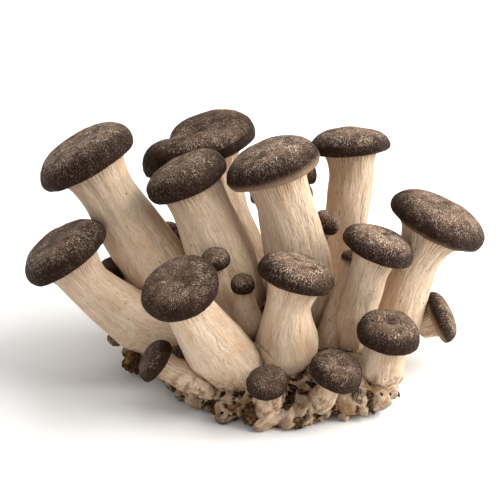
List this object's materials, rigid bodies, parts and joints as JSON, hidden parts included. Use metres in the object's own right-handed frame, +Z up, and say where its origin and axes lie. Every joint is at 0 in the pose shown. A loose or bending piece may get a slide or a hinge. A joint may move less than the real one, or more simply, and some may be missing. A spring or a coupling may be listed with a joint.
{
  "type": "oyster mushroom cluster",
  "caption": "Cluster of stout pale-stemmed mushrooms with dark velvety caps, grown from one knobbly mycelium butt sliced flat underneath, that stands on the cut.",
  "frame": {"origin": "on the flat cut under the butt, in its plane, at about the middle of the cluster", "axes": "+Z up, away from the cut; +X along the cluster's width, to its right seen from the front; -Y to its front, where the short mushrooms lean out"},
  "size_m": [0.1923, 0.1339, 0.1033],
  "materials": {
    "cap_skin": "matte",
    "stem_flesh": "matte",
    "mycelium": "matte",
    "sawdust": "matte"
  },
  "bodies": {
    "root": {"cap_back_centre": "cap_skin", "cap_back_left": "cap_skin", "cap_back_right": "cap_skin", "cap_bud_behind": "cap_skin", "cap_bud_between": "cap_skin", "cap_bud_centre": "cap_skin", "cap_bud_furled": "cap_skin", "cap_bud_left": "cap_skin", "cap_bud_rear": "cap_skin", "cap_bud_right": "cap_skin", "cap_centre_tall": "cap_skin", "cap_front_centre": "cap_skin", "cap_front_left": "cap_skin", "cap_front_right": "cap_skin", "cap_low_centre": "cap_skin", "cap_low_left": "cap_skin", "cap_low_right": "cap_skin", "cap_low_side_right": "cap_skin", "cap_mid_right": "cap_skin", "cap_rear_broad": "cap_skin", "cap_rear_left": "cap_skin", "cap_rear_right": "cap_skin", "cap_side_left": "cap_skin", "cap_side_right": "cap_skin", "cap_tall_left": "cap_skin", "crumb_1": "sawdust", "crumb_2": "sawdust", "crumb_3": "sawdust", "crumb_4": "sawdust", "crumb_5": "sawdust", "mycelium_butt": "mycelium", "pin_centre": "cap_skin", "pin_edge": "cap_skin", "pin_front": "cap_skin", "pin_tucked": "cap_skin", "stem_back_centre": "stem_flesh", "stem_back_left": "stem_flesh", "stem_back_right": "stem_flesh", "stem_bud_behind": "stem_flesh", "stem_bud_between": "stem_flesh", "stem_bud_centre": "stem_flesh", "stem_bud_furled": "stem_flesh", "stem_bud_left": "stem_flesh", "stem_bud_rear": "stem_flesh", "stem_bud_right": "stem_flesh", "stem_centre_tall": "stem_flesh", "stem_front_centre": "stem_flesh", "stem_front_left": "stem_flesh", "stem_front_right": "stem_flesh", "stem_low_centre": "stem_flesh", "stem_low_left": "stem_flesh", "stem_low_right": "stem_flesh", "stem_low_side_right": "stem_flesh", "stem_mid_right": "stem_flesh", "stem_rear_broad": "stem_flesh", "stem_rear_left": "stem_flesh", "stem_rear_right": "stem_flesh", "stem_side_left": "stem_flesh", "stem_side_right": "stem_flesh", "stem_tall_left": "stem_flesh"}
  },
  "joints": []
}
